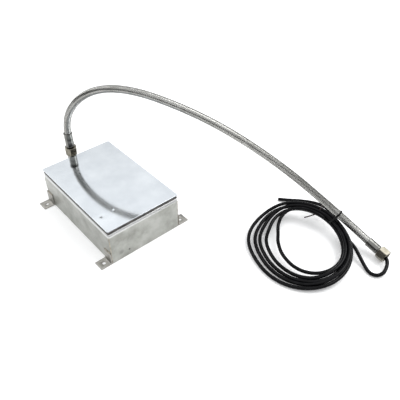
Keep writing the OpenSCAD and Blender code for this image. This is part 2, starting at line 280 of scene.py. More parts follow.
def steel(name, dark, light, rough_low, rough_high, grain=(1, 1, 1), grain_scale=900.0, grain_depth=0.01,
          patch_scale=14.0):
    """Bare stainless: brushed grain along one axis, cloudy tone and uneven gloss."""
    material, nodes, links, shader = new_material(name)
    shader.inputs["Metallic"].default_value = 1.0
    stretched = coordinates(nodes, links, grain)
    cloud = noise(nodes, links, coordinates(nodes, links), patch_scale, 5.0)
    fine = noise(nodes, links, stretched, grain_scale, 3.0, 0.6)
    links.new(ramp(nodes, links, cloud, dark, light, 0.3, 0.7), shader.inputs["Base Color"])
    links.new(ramp(nodes, links, fine, rough_low, rough_high, 0.3, 0.7), shader.inputs["Roughness"])
    links.new(bump(nodes, links, fine, grain_depth), shader.inputs["Normal"])
    return material


def between(nodes, links, low, high):
    """0 below one height of the object and 1 above another."""
    split = nodes.new("ShaderNodeSeparateXYZ")
    links.new(coordinates(nodes, links), split.inputs["Vector"])
    height = nodes.new("ShaderNodeMapRange")
    height.inputs["From Min"].default_value = low * MM
    height.inputs["From Max"].default_value = high * MM
    links.new(split.outputs["Z"], height.inputs["Value"])
    return height.outputs["Result"]


def polished_plate():
    """The radiating face: nearly a mirror, with faint waves, hairlines and a bloom to the gloss; the side
    below the top bevel is painted dark as painted shade.
    """
    material, nodes, links, shader = new_material("polished_plate")
    shader.inputs["Metallic"].default_value = 1.0
    plain = coordinates(nodes, links)
    hairs = coordinates(nodes, links, (1, 26, 26))
    wave = noise(nodes, links, plain, 9.0, 1.0)
    hair = noise(nodes, links, hairs, 240.0, 2.0, 0.7)
    bloom = noise(nodes, links, plain, 16.0, 4.0)
    face = ramp(nodes, links, bloom, (0.62, 0.655, 0.69), (0.74, 0.775, 0.805), 0.3, 0.7)
    # painted shade: the plate's side below the top bevel is coloured dark
    painted_shade_side = nodes.new("ShaderNodeMixRGB")
    links.new(between(nodes, links, 99.25, 99.55), painted_shade_side.inputs["Fac"])
    painted_shade_side.inputs["Color1"].default_value = (0.13, 0.13, 0.135, 1)
    links.new(face, painted_shade_side.inputs["Color2"])
    links.new(painted_shade_side.outputs["Color"], shader.inputs["Base Color"])
    links.new(ramp(nodes, links, hair, 0.07, 0.12, 0.35, 0.7), shader.inputs["Roughness"])
    waves = bump(nodes, links, wave, 0.12, 0.5)
    links.new(bump(nodes, links, hair, 0.004, 0.6, waves), shader.inputs["Normal"])
    return material


def weld_metal():
    """Fused bead: ripples, straw to brown heat tint."""
    material, nodes, links, shader = new_material("weld_metal_look")
    shader.inputs["Metallic"].default_value = 1.0
    plain = coordinates(nodes, links)
    tint = noise(nodes, links, plain, 120.0, 4.0)
    grit = noise(nodes, links, plain, 900.0, 3.0)
    links.new(ramp(nodes, links, tint, (0.16, 0.145, 0.12), (0.52, 0.47, 0.39), 0.3, 0.7),
              shader.inputs["Base Color"])
    links.new(ramp(nodes, links, grit, 0.28, 0.5), shader.inputs["Roughness"])
    links.new(bump(nodes, links, grit, 0.08), shader.inputs["Normal"])
    return material


def plain_look(name, dark, light, rough_low, rough_high, metallic=0.0, scale=400.0, depth=0.02,
               gloss=0.5):
    """Moulded, coated or fired surface with a fine mottle."""
    material, nodes, links, shader = new_material(name)
    shader.inputs["Metallic"].default_value = metallic
    grain = noise(nodes, links, coordinates(nodes, links), scale, 4.0)
    links.new(ramp(nodes, links, grain, dark, light, 0.3, 0.7), shader.inputs["Base Color"])
    links.new(ramp(nodes, links, grain, rough_low, rough_high, 0.3, 0.7), shader.inputs["Roughness"])
    links.new(bump(nodes, links, grain, depth), shader.inputs["Normal"])
    shader.inputs["Specular IOR Level"].default_value = gloss
    return material


def braid_look():
    """A strand of the braid: parallel wires across U, painted shade in the grooves between them."""
    material, nodes, links, shader = new_material("braid_wire")
    shader.inputs["Metallic"].default_value = 1.0
    uv = coordinates(nodes, links, (1, 1, 1), "UV")
    wires = nodes.new("ShaderNodeTexWave")
    wires.wave_profile = "SIN"
    wires.bands_direction = "X"
    wires.inputs["Scale"].default_value = WIRES_PER_STRAND * 2 * math.pi / 20
    links.new(uv, wires.inputs["Vector"])
    tone = noise(nodes, links, coordinates(nodes, links), 30.0, 3.0)
    mix = nodes.new("ShaderNodeMixRGB")
    mix.blend_type = "MULTIPLY"
    mix.inputs["Fac"].default_value = 1.0
    # painted shade: the colour falls almost to black in the grooves between the wires
    links.new(ramp(nodes, links, wires.outputs["Fac"], (0.08, 0.08, 0.075), (1.0, 1.0, 1.0), 0.1, 0.8),
              mix.inputs["Color1"])
    links.new(ramp(nodes, links, tone, (0.52, 0.515, 0.49), (0.66, 0.655, 0.63)), mix.inputs["Color2"])
    links.new(mix.outputs["Color"], shader.inputs["Base Color"])
    links.new(ramp(nodes, links, tone, 0.12, 0.18), shader.inputs["Roughness"])
    links.new(bump(nodes, links, wires.outputs["Fac"], 0.05), shader.inputs["Normal"])
    return material


def jacket_look():
    """Smooth extruded cable jacket, faintly dusty."""
    material, nodes, links, shader = new_material("cable_jacket_look")
    plain = coordinates(nodes, links)
    dust = noise(nodes, links, plain, 70.0, 5.0)
    skin = noise(nodes, links, plain, 1500.0, 2.0)
    links.new(ramp(nodes, links, dust, (0.0015, 0.0015, 0.002), (0.005, 0.005, 0.006)),
              shader.inputs["Base Color"])
    links.new(ramp(nodes, links, dust, 0.12, 0.2), shader.inputs["Roughness"])
    shader.inputs["Specular IOR Level"].default_value = 0.11
    links.new(bump(nodes, links, skin, 0.01), shader.inputs["Normal"])
    return material


# ---- camera, light and floor ----

CAMERA_AZIMUTH = 49.11
CAMERA_ELEVATION = 40.77
CAMERA_DISTANCE = 1280.0
CAMERA_TARGET = (111.0, 200.5, 0.0)
CAMERA_LENS = 43.65


def make_camera():
    azimuth, elevation = math.radians(CAMERA_AZIMUTH), math.radians(CAMERA_ELEVATION)
    back = Vector((math.sin(azimuth) * math.cos(elevation), -math.cos(azimuth) * math.cos(elevation),
                   math.sin(elevation)))
    right = Vector((math.cos(azimuth), math.sin(azimuth), 0))
    up = back.cross(right)
    data = bpy.data.cameras.new("camera")
    data.lens = CAMERA_LENS
    data.sensor_width = 36.0
    data.clip_start = 0.01
    camera = bpy.data.objects.new("camera", data)
    bpy.context.scene.collection.objects.link(camera)
    place = Matrix((right, up, back)).transposed().to_4x4()
    place.translation = (Vector(CAMERA_TARGET) + back * CAMERA_DISTANCE) * MM
    camera.matrix_world = place
    bpy.context.scene.camera = camera


def soft_light(name, location, target, size, watts, colour=(1, 1, 1)):
    data = bpy.data.lights.new(name, "AREA")
    data.shape = "RECTANGLE"
    data.size, data.size_y = size
    data.energy = watts
    data.color = colour
    light = bpy.data.objects.new(name, data)
    bpy.context.scene.collection.objects.link(light)
    light.location = location
    light.rotation_euler = (Vector(target) - Vector(location)).to_track_quat("-Z", "Y").to_euler()


def make_studio():
    """A white table under a bright ceiling, with a darker band of room round the horizon."""
    bpy.context.scene.view_settings.view_transform = "Standard"
    soft_light("key", (0.9, 1.5, 1.9), (0.1, 0.15, 0.05), (1.6, 1.6), KEY_WATTS)
    soft_light("fill", (-1.6, -0.9, 1.4), (0.1, 0.1, 0.05), (1.4, 1.4), FILL_WATTS)
    world = bpy.data.worlds.new("studio")
    bpy.context.scene.world = world
    world.use_nodes = True
    nodes, links = world.node_tree.nodes, world.node_tree.links
    direction = nodes.new("ShaderNodeTexCoord")
    split = nodes.new("ShaderNodeSeparateXYZ")
    links.new(direction.outputs["Generated"], split.inputs["Vector"])
    sky = nodes.new("ShaderNodeValToRGB")
    for _ in range(len(ROOM) - 2):
        sky.color_ramp.elements.new(0.5)
    for element, (height, shade) in zip(sky.color_ramp.elements, ROOM):
        element.position = height
        element.color = (shade * 0.98, shade * 0.99, shade, 1)
    links.new(split.outputs["Z"], sky.inputs["Fac"])
    links.new(sky.outputs["Color"], nodes["Background"].inputs["Color"])
    nodes["Background"].inputs["Strength"].default_value = SKY_STRENGTH
    floor = make_mesh("floor", [(-6000, -6000, 0), (6000, -6000, 0), (6000, 6000, 0), (-6000, 6000, 0)],
                      [(0, 1, 2, 3)])
    material, nodes, links, shader = new_material("floor_white")
    shader.inputs["Base Color"].default_value = (0.93, 0.93, 0.93, 1)
    shader.inputs["Roughness"].default_value = 0.7
    shader.inputs["Emission Color"].default_value = (1, 1, 1, 1)
    shader.inputs["Emission Strength"].default_value = FLOOR_GLOW
    floor.data.materials.append(material)


KEY_WATTS = 30
FILL_WATTS = 10
FLOOR_GLOW = 0.2
SKY_STRENGTH = 1.3
ROOM = [(0.0, 0.16), (0.43, 0.04), (0.54, 0.8), (0.7, 1.0)]     # height above the horizon and brightness


# ---- cords ----

HOSE_DIAMETER = 18.0
CABLE_DIAMETER = 8.5
HOSE_END = (502, 380, 26)
HOSE_ROUTE = [
    (-177, 0, 122), (-177, 0, 152), (-175, 2, 180), (-168, 7, 208), (-156, 15, 231), (-141, 24, 252),
    (-120, 37, 272), (-97, 52, 287), (-70, 70, 297), (-36, 91, 302), (4, 117, 299), (43, 143, 289),
    (88, 171, 275), (133, 201, 256), (180, 231, 232), (227, 262, 202), (275, 293, 168),
    (324, 325, 129), (362, 345, 99), (398, 362, 73), (434, 374, 51), (468, 380, 36), HOSE_END,
    (525, 378.6, 22.3),
]
LOOP_ROUTE = [
    (542, 377.5, 19.5), (551, 376.2, 18), (558.5, 372.8, 16.6), (564.5, 366.5, 15), (569.5, 357, 13),
    (573, 346, 10.5), (574, 337, 8.5), (570, 327, 6.3), (561, 320.5, 5), (550, 320, 4.8),
    (539, 324.5, 5.8), (523, 332, 9), (506, 340, 14), (492, 346, 19),
]
TAIL_ROUTE = [
    (357, 393, 33), (340, 393, 29), (322, 390, 24), (303, 384.5, 18), (284, 377, 12), (266, 367, 7),
    (247, 355, 4.6),
]

STRANDS_EACH_WAY = 12
WIRES_PER_STRAND = 7
STRAND_WIDTH = 2.75
STRAND_THICKNESS = 0.36
BRAID_PITCH = 56.0        # length of one full turn of a strand
BRAID_LIFT = 0.24         # how far a strand rises and dips as it crosses the others
BRAID_STEP = 1.1


def braid_strand(path_data, index, direction):
    """Vertices, faces and UVs of one flat strand wound round the hose, over two and under two."""
    distances, path, u_axis, v_axis = path_data
    count = STRANDS_EACH_WAY
    turn = direction * 2 * math.pi * distances / BRAID_PITCH
    angle = 2 * math.pi * index / count + turn
    other = index + direction * 2 * count * distances / BRAID_PITCH
    phase = math.pi / 2 * (index + other) - math.pi / 4
    lift = direction * BRAID_LIFT * np.tanh(2.2 * np.cos(phase)) / math.tanh(2.2)
    radius = HOSE_DIAMETER / 2 - BRAID_LIFT - STRAND_THICKNESS / 2 + lift
    helix = math.atan2(2 * math.pi * (HOSE_DIAMETER / 2), BRAID_PITCH)
    across_angle = STRAND_WIDTH / math.cos(helix) / (HOSE_DIAMETER / 2)
    section = [(-0.5, -0.2), (-0.48, 0.4), (-0.34, 0.5), (0.34, 0.5), (0.48, 0.4), (0.5, -0.2),
               (0.25, -0.5), (-0.25, -0.5)]
    rings = []
    for across, out in section:
        theta = angle + across * across_angle
        r = radius + out * STRAND_THICKNESS
        rings.append(path + r[:, None] * (np.cos(theta)[:, None] * u_axis + np.sin(theta)[:, None] * v_axis))
    vertices = np.stack(rings, axis=1).reshape(-1, 3)
    faces = grid_faces(len(path), len(section), True)
    j = np.tile(np.arange(len(section)), len(path) - 1)
    u = np.array([s[0] + 0.5 for s in section])
    k = (j + 1) % len(section)
    i = np.repeat(np.arange(len(path) - 1), len(section))
    uv = np.stack([np.stack([u[j], i], 1), np.stack([u[k], i], 1), np.stack([u[k], i + 1], 1),
                   np.stack([u[j], i + 1], 1)], axis=1).astype(float)
    uv[:, :, 1] *= BRAID_STEP / STRAND_WIDTH
    return vertices, faces, uv.reshape(-1, 2)


def make_hose(looks):
    path = b_spline(HOSE_ROUTE, BRAID_STEP)
    distances = distances_along(path)
    data = (distances, path, *frames_along(path))
    vertices, faces, uvs, start = [], [], [], 0
    for direction in (1, -1):
        for index in range(STRANDS_EACH_WAY):
            v, f, t = braid_strand(data, index, direction)
            vertices.append(v)
            faces.append(f + start)
            uvs.append(t)
            start += len(v)
    braid = make_mesh("hose_braid", np.vstack(vertices), np.vstack(faces), np.vstack(uvs))
    dress(braid, looks["braid"], 60)
    liner = sweep("hose_liner", path[::4], HOSE_DIAMETER / 2 - 2 * BRAID_LIFT - STRAND_THICKNESS - 0.1, 32)
    dress(liner, looks["liner"])
    hose = join("hose", [braid, liner])
    return hose, path


COIL_CENTRE = (396, 262, 18.5)
COIL_TILT = 6.3
COIL_START = 100.0        # angle at which the cable joins the coil's inside
COIL_TURNS = 5
COIL_LEAVE = 80.0         # angle at which it leaves the outside, after the last turn
LOOSEST = 228.0           # direction in which the turns are fanned out furthest
TIGHT = (30.0, 130.0)     # directions between which they are bunched
BUNCH_WIDTH = 18.0        # from the innermost to the outermost turn where bunched
FAN_WIDTH = 63.5          # the same where they are fanned out
FANNED = (1.2, 1.0, 0.6, 0.386, 0.226, 0.0, -0.12)  # how far in each turn lies there, inside to outside
LAYER = 7.6               # height of the upper layer where bunched
LOOSE_SPAN = 0.72         # share of the way to the loosest direction over which the turns spread
OUTLINE_R = 119.8         # mean radius of the outline
OVAL, OVAL_AT = 8, 150    # how far the outline is drawn out, and in which direction
BULGE, BULGE_AT, BULGE_SPREAD = 7, 218, 24   # height, direction and half width of the outer turn's bulge


def ease(x):
    x = min(1.0, max(0.0, x))
    return x * x * (3 - 2 * x)


def looseness(total):
    """0 where the turns are bunched, 1 where they are fanned out furthest."""
    angle = (total - TIGHT[0]) % 360 + TIGHT[0]
    if angle < LOOSEST:
        return ease((angle - TIGHT[1]) / (LOOSEST - TIGHT[1]) / LOOSE_SPAN)
    return ease((TIGHT[0] + 360 - angle) / (TIGHT[0] + 360 - LOOSEST) / LOOSE_SPAN)


def outline_radius(total, inward):
    """Distance of a turn's outline from the coil's centre: an oval that bulges on one side, least inside."""
    aside = (total - BULGE_AT + 180) % 360 - 180
    oval = OVAL * math.cos(2 * math.radians(total - OVAL_AT))
    return OUTLINE_R + oval + BULGE * (1 - inward) * math.exp(-(aside / BULGE_SPREAD) ** 2)


def coil_point(total):
    """A point of the coil after a total angle in degrees, in the coil's own plane."""
    turns = (total - LOOSEST) / 360
    loose = looseness(total)
    even = 1 - turns / (COIL_TURNS - 1)
    fanned = float(np.interp(turns, range(-1, COIL_TURNS + 1), FANNED))
    inward = even + (fanned - even) * min(1.0, 2 * loose)
    radius = outline_radius(total, inward) - (BUNCH_WIDTH + (FAN_WIDTH - BUNCH_WIDTH) * loose) * inward
    upper = math.floor(turns) % 2
    lift = LAYER * upper * (1 - ease((loose - 0.15) / 0.6))
    angle = math.radians(total)
    return radius * math.cos(angle), radius * math.sin(angle), lift


def coil_path():
    tilt = np.array(Matrix.Rotation(math.radians(COIL_TILT), 3, "X"))
    total = np.arange(COIL_START, COIL_LEAVE + 360 * COIL_TURNS + 1, 10.0)
    points = np.array([coil_point(t) for t in total])
    return points @ tilt.T + np.array(COIL_CENTRE)


def make_cable(looks):
    entry = [(478, 351, 19.5), (462, 355, 20.5), (444, 359, 21), (425, 363, 20.5), (407, 366, 22)]
    route = np.vstack([LOOP_ROUTE, entry, coil_path(), [(374, 391, 37)], TAIL_ROUTE])
    path = b_spline(route, 2.5)
    cable = sweep("cable", path, CABLE_DIAMETER / 2, 18)
    dress(cable, looks["jacket"])
    return cable, path


# ---- box ----

def outline_rings(outline, profile):
    """One ring for each (inset, height) of a profile round the box."""
    return [np.c_[outline(inset), np.full(len(outline(inset)), z)] for inset, z in profile]


def box_outline(half_x, half_y, corner, steps=10):
    """A function that gives the rounded outline moved in by an inset."""
    def outline(inset):
        points = []
        radius = max(corner - inset, 0.3)
        for turn, (sx, sy) in enumerate([(1, 1), (-1, 1), (-1, -1), (1, -1)]):
            cx, cy = sx * (half_x - inset - radius), sy * (half_y - inset - radius)
            for k in range(steps + 1):
                a = math.radians(90 * (turn + k / steps))
                points.append((cx + radius * math.cos(a), cy + radius * math.sin(a)))
        return np.array(points)
    return outline


CORNER_R = 4.0
DIMPLES = [(96, -47, 2.6, 0.22), (96.5, -78, 6.0, 0.55)]   # x, y, radius and depth of the two dents


def make_radiating_plate(looks):
    """The plate: ground edge, flat top with two dents."""
    low, high = node_box("radiating_plate")
    outline = box_outline(high[0], high[1], CORNER_R)
    edge = 0.7
    skirt = [(0.5, low[2]), (0, low[2] + 0.5), (0, high[2] - edge)]
    skirt += [(edge * (1 - math.cos(a)), high[2] - edge + edge * math.sin(a))
              for a in np.linspace(0.3, math.pi / 2, 5)]
    skirt += [(edge + 0.05, high[2]), (edge + 1.0, high[2]), (edge + 2.0, high[2])]
    rings = outline_rings(outline, skirt)
    sides = len(rings[0])
    faces = grid_faces(len(rings), sides, True).tolist() + [list(range(sides - 1, -1, -1))]
    body = make_mesh("radiating_plate_body", np.vstack(rings), faces)
    top = plate_top(rings[-1], high[2])
    plate = join("radiating_plate_polished", [body, top])
    fix_normals(plate, 0.01 * MM)
    return dress(plate, looks["polished"], 40)


def plate_top(rim, z):
    """The flat top inside a rim, with a fine grid of vertices round the dents."""
    points = [Vector(p[:2]) for p in rim]
    for x in np.linspace(76, 117, 42):
        points += [Vector((x, y)) for y in np.linspace(-94, -36, 59)]
    flat, _, faces, *_ = delaunay_2d_cdt(points, [], [list(range(len(rim)))], 1, 1e-6)
    vertices = []
    for x, y in flat:
        drop = sum(depth * math.exp(-((x - dx) ** 2 + (y - dy) ** 2) / radius ** 2)
                   for dx, dy, radius, depth in DIMPLES)
        vertices.append((x, y, z - drop))
    return make_mesh("plate_top", vertices, faces)


WALL = 2.0
SHOULDER_R = 9.0          # outside radius of the bend where the walls turn in
LEDGE = 13.0              # how far they turn in


def make_wall_shell(looks):
    """The folded wall: thin sheet that bends inwards at the top to a flat ledge."""
    low, high = node_box("wall_shell")
    outline = box_outline(high[0], high[1], CORNER_R)
    bend = np.linspace(0, math.pi / 2, 12)
    start = high[2] - SHOULDER_R
    profile = [(WALL, low[2]), (0.4, low[2]), (0, low[2] + 0.4)]
    profile += [(0, z) for z in np.linspace(low[2] + 8, start - 3, 10)]
    profile += [(SHOULDER_R * (1 - math.cos(a)), start + SHOULDER_R * math.sin(a)) for a in bend]
    profile += [(LEDGE, high[2]), (LEDGE, high[2] - WALL)]
    inner = SHOULDER_R - WALL
    profile += [(WALL + inner * (1 - math.cos(a)), start + inner * math.sin(a)) for a in bend[::-1]]
    profile += [(WALL, low[2] + 4)]
    rings = outline_rings(outline, profile)
    wall = placed_rows("wall_shell_sheet", rings, Matrix.Identity(4), len(rings[0]))
    fix_normals(wall)
    return dress(wall, looks["wall"], 30)


SHEET = 2.5               # thickness of the bracket sheet
BEND_R = 3.0
HOLE_R = 4.5


def make_bracket(name, node, looks):
    """A bent foot: leg on the wall, rounded bend, foot on the floor with a round hole."""
    low, high = node_box(node)
    width = high[0] - low[0]
    out = 1 if high[1] > 0 else -1
    reach, height = high[1] - low[1], high[2]
    wall_y = low[1] if out > 0 else high[1]
    inner = [(BEND_R * (1 - math.cos(a)) + SHEET, BEND_R * (1 - math.sin(a)) + SHEET)
             for a in np.linspace(0, math.pi / 2, 6)]
    outer_r = 1.2
    outer = [(outer_r * (1 - math.sin(a)), outer_r * (1 - math.cos(a)))
             for a in np.linspace(0, math.pi / 2, 4)]
    profile = [(0, height), (SHEET, height)] + inner + [(reach, SHEET), (reach, 0)] + outer
    lengthwise = np.linspace(-width / 2, width / 2, 2)
    vertices, count = [], len(profile)
    for x in lengthwise:
        vertices += [((low[0] + high[0]) / 2 + x, wall_y + out * y, z) for y, z in profile]
    faces = [[j, (j + 1) % count, count + (j + 1) % count, count + j] for j in range(count)]
    faces += [list(range(count - 1, -1, -1)), [count + j for j in range(count)]]
    bracket = make_mesh(name, vertices, faces)
    fix_normals(bracket)
    cutter = lathe("cutter", [(0.01, -3), (HOLE_R, -3), (HOLE_R, SHEET + 3), (0.01, SHEET + 3)],
                   Matrix.Translation(((low[0] + high[0]) / 2, wall_y + out * reach / 2, 0)), 48)
    fix_normals(cutter)
    cut = bracket.modifiers.new("hole", "BOOLEAN")
    cut.operation, cut.object, cut.solver = "DIFFERENCE", cutter, "EXACT"
    edge = bracket.modifiers.new("edge", "BEVEL")
    edge.width, edge.segments, edge.limit_method, edge.angle_limit = 0.35 * MM, 2, "ANGLE", math.radians(40)
    apply_modifiers(bracket)
    bpy.data.objects.remove(cutter)
    return dress(bracket, looks["bracket"], 35)


def weld_bead(name, start, end, radius, seed, looks, step=0.35, ripple=1.5, wander=0.18):
    """A laid bead: overlapping ripples along a line that wanders a little."""
    start, end = np.array(start, float), np.array(end, float)
    length = np.linalg.norm(end - start)
    count = max(4, int(length / step))
    t = np.linspace(0, 1, count)
    rng = np.random.default_rng(seed)
    knots = rng.normal(0, wander, (max(4, int(length / 5)), 3))
    drift = np.stack([np.interp(t, np.linspace(0, 1, len(knots)), knots[:, k]) for k in range(3)], 1)
    path = start + (end - start) * t[:, None] + drift
    swell = np.interp(t, np.linspace(0, 1, len(knots)), rng.uniform(0.85, 1.12, len(knots)))
    saw = (t * length / ripple) % 1.0
    radii = radius * swell * (0.86 + 0.16 * np.sin(math.pi * saw) ** 0.6)
    radii[0] = radii[-1] = radius * 0.4
    bead = sweep(name, path, radii, 12)
    return dress(bead, looks["weld"], 60)


def make_welds(looks):
    """The beads up the four corners of the walls, and those along the tops of the feet."""
    _, wall_high = node_box("wall_shell")
    inset = CORNER_R * (1 - math.cos(math.radians(45)))
    corners = []
    for n, (sx, sy) in enumerate([(1, 1), (-1, 1), (-1, -1), (1, -1)]):
        x, y = sx * (wall_high[0] - inset - 0.35), sy * (wall_high[1] - inset - 0.35)
        top = wall_high[2] - SHOULDER_R - 1
        corners.append(weld_bead("corner_weld", (x, y, 1.0), (x, y, top), 1.15, 10 + n, looks))
    seams = []
    for n, node in enumerate(BRACKET_NODES):
        b_low, b_high = node_box(node)
        out = 1 if b_high[1] > 0 else -1
        y = (b_low[1] if out > 0 else b_high[1]) + out * 0.6
        z = b_high[2] + 0.3
        ends = (b_low[0] + 2, y, z), (b_high[0] - 2, y, z)
        seams.append(weld_bead("bracket_weld", *ends, 1.3, 30 + n, looks))
    return (join("wall_corner_weld_beads", corners), join("bracket_weld_beads", seams))


BRACKET_NODES = ["bracket_front_left", "bracket_front_right", "bracket_back_left", "bracket_back_right"]


# ---- fittings ----

NUT_AF = 28.0
NUT_H = 21.0
LIP_T = 3.0
NECK_GAP = 2.4
NECK_R = 7.0
FIT = 0.4
NUT_BORE_R = 10.8
FERRULE_R = 11.25
NEAR_FERRULE_L = 40.0
FAR_FERRULE_L = 30.0
FAR_PITCH = 9.3
FAR_TURN = -3.6


def near_frame():
    """Local Z runs from the hose down to the box."""
    low, high = node_box("near_ferrule")
    centre = (low + high) / 2
    return Matrix.Translation((centre[0], centre[1], high[2])) @ Matrix.Rotation(math.pi, 4, "X")


def far_frame():
    """Local Z runs from the hose to the open end."""
    turn = rotation_z(FAR_TURN) @ Matrix.Rotation(math.radians(90 + FAR_PITCH), 4, "Y")
    return Matrix.Translation(HOSE_END) @ turn


def make_nut(name, matrix, start, looks, sides=144):
    """A hexagon nut with turned chamfers on both ends, a counterbored mouth and soft corners."""
    angles = np.linspace(0, 2 * math.pi, sides, endpoint=False)
    folded = (angles + math.pi / 6) % (math.pi / 3) - math.pi / 6
    flat = (NUT_AF / 2) / np.cos(folded)
    corner = NUT_AF / 2 / math.cos(math.pi / 6) - 0.35
    hexagon = np.minimum(flat, corner)

    def ring(limit, z):
        r = np.minimum(hexagon, limit)
        return np.stack([r * np.cos(angles), r * np.sin(angles), np.full(sides, z)], 1)

    cone = corner - 1.9
    rows = [ring(NECK_R + FIT, 0.4), ring(NECK_R + FIT + 0.5, 0.0), ring(cone - 0.4, 0.0)]
    for s in np.linspace(0, 1, 7):
        rows.append(ring(cone + s * 2.0, 0.12 + 1.5 * s ** 1.6))
    rows += [ring(99, 2.4), ring(99, NUT_H / 2), ring(99, NUT_H - 2.4)]
    for s in np.linspace(1, 0, 7):
        rows.append(ring(cone + s * 2.0, NUT_H - 0.12 - 1.5 * s ** 1.6))
    rows += [ring(cone - 0.4, NUT_H), ring(NUT_BORE_R + 0.9, NUT_H), ring(NUT_BORE_R + 0.1, NUT_H - 0.8)]
    for k in range(9):
        z = NUT_H - 1.6 - k * 1.75
        rows += [ring(NUT_BORE_R + 0.25, z), ring(NUT_BORE_R - 0.15, z - 0.7)]
    rows += [ring(NUT_BORE_R, LIP_T), ring(NECK_R + FIT, LIP_T)]
    shifted = [row + np.array([0, 0, start]) for row in rows]
    nut = placed_rows(name, shifted, matrix, sides)
    fix_normals(nut)
    return dress(nut, looks["nut"], 28)


def make_ferrule(name, matrix, length, looks):
    """A crimped sleeve: rolled mouth over the braid, two faint crimp rings, closed shoulder."""
    r = FERRULE_R
    profile = [(9.25, 0.6), (9.6, 0.1), (r - 0.7, 0.0), (r - 0.15, 0.35), (r, 1.0), (r, 3.2), (r - 0.35, 4.0)]
    for centre in (length * 0.36, length * 0.66):
        profile += [(r - 0.35, centre - 2.6), (r - 0.45, centre - 1.4), (r - 0.45, centre + 1.4),
                    (r - 0.35, centre + 2.6)]
    profile += [(r - 0.35, length - 4.2), (r - 0.2, length - 3.4), (r - 0.2, length - 1.6),
                (r - 0.5, length - 0.5), (r - 1.5, length), (NECK_R + 0.1, length),
                (NECK_R + 0.1, length - 3), (9.25, length - 3.2)]
    return turned(name, profile, matrix, 72, looks["ferrule"])


def make_stem(name, matrix, length, looks):
    neck_end = length + NECK_GAP + LIP_T + FIT
    bore = 4.6
    profile = [(bore, 6)]
    for z in np.arange(6, length - 9, 4.0):
        profile += [(5.2, z), (5.75, z + 3.2)]
    profile += [(5.6, length - 3.2), (NECK_R - 0.05, length - 3), (NECK_R - 0.05, neck_end - 0.2),
                (NECK_R + 2.4, neck_end), (10.0, neck_end + 0.15), (10.2, neck_end + 0.5),
                (10.2, neck_end + 2.6), (9.9, neck_end + 2.95), (bore + 0.4, neck_end + 3),
                (bore, neck_end + 2.5)]
    return turned(name, profile, matrix, 64, looks["pipe"])


def make_elbow(looks):
    """The bent outlet pipe between the flange and the adapter."""
    low, high = node_box("outlet_elbow")
    pipe_r = 10.0
    axis_x = low[0] + pipe_r
    bottom = low[2] + pipe_r
    bend = 22.0
    wall_x = high[0]
    points = [(wall_x, 0, bottom), (axis_x + bend, 0, bottom)]
    points += [(axis_x + bend - bend * math.sin(a), 0, bottom + bend - bend * math.cos(a))
               for a in np.linspace(0.05, math.pi / 2, 20)]
    points += [(axis_x, 0, high[2])]
    path = resample(np.array(points, float), 1.5)
    sides = 48
    circles = circles_along(path, sides)
    outer = path[:, None, :] + pipe_r * circles
    inner = path[:, None, :] + (pipe_r - 2) * circles
    rows = list(outer) + list(inner[::-1])
    elbow = placed_rows("outlet_elbow_pipe", rows, Matrix.Identity(4), sides)
    fix_normals(elbow)
    return dress(elbow, looks["pipe"], 40)


def make_adapter(looks):
    low, high = node_box("threaded_adapter")
    axis = Matrix.Translation(((low[0] + high[0]) / 2, 0, low[2]))
    height = high[2] - low[2]
    collar = 13.0
    bore = 8.0
    profile = [(bore, 0), (11.8, 0), (12.5, 0.7), (12.5, collar - 0.7), (11.8, collar), (10.2, collar)]
    z = collar + 0.6
    while z < height - 1.2:
        profile += [(9.9, z), (10.4, z + 0.6), (9.9, z + 1.2)]
        z += 1.8
    profile += [(9.8, height), (bore, height)]
    return turned("threaded_adapter_turned", profile, axis, 72, looks["pipe"])


def make_flange(looks):
    low, high = node_box("outlet_flange")
    centre = (low + high) / 2
    radius = (high[2] - low[2]) / 2
    thick = high[0] - low[0]
    turn = Matrix.Translation((high[0], centre[1], centre[2])) @ Matrix.Rotation(-math.pi / 2, 4, "Y")
    profile = [(10.0, 0), (radius, 0), (radius, thick - 0.8), (radius - 0.8, thick), (10.0, thick)]
    return turned("outlet_flange_turned", profile, turn, 72, looks["bracket"])


# ---- ties, bush and plate frame ----

HOSE_TIE_AT = (418, 368.6, 60.8)
HOSE_TIE_TURN = 18.0
HOSE_TIE_LEAN = 119.6
HOSE_TO_BUNCH = (21.7, 1.6)    # from the hose to the bunched cable, in the tie's plane
COIL_TIE_AT = (364, 378, 33)


def belt_outline(radius_a, centre_b, radius_b, steps=28):
    """The line of a belt round a circle at the origin and another one."""
    reach = math.hypot(*centre_b)
    heading = math.atan2(centre_b[1], centre_b[0])
    lean = math.acos((radius_a - radius_b) / reach)
    points = []
    for a in np.linspace(heading + lean, heading + 2 * math.pi - lean, steps):
        points.append((radius_a * math.cos(a), radius_a * math.sin(a)))
    for a in np.linspace(heading - lean, heading + lean, steps):
        points.append((centre_b[0] + radius_b * math.cos(a), centre_b[1] + radius_b * math.sin(a)))
    return np.array(points)


def beveled_block(name, size, matrix, bevel=0.5):
    """A small moulded block with rounded edges."""
    x, y, z = (s / 2 for s in size)
    corners = [(sx * x, sy * y, sz * z) for sx in (-1, 1) for sy in (-1, 1) for sz in (-1, 1)]
    faces = [(0, 1, 3, 2), (4, 6, 7, 5), (0, 4, 5, 1), (2, 3, 7, 6), (0, 2, 6, 4), (1, 5, 7, 3)]
    local = np.c_[np.array(corners), np.ones(8)] @ np.array(matrix).T
    block = make_mesh(name, local[:, :3], faces)
    fix_normals(block)
    edge = block.modifiers.new("edge", "BEVEL")
    edge.width, edge.segments = bevel * MM, 3
    return apply_modifiers(block)


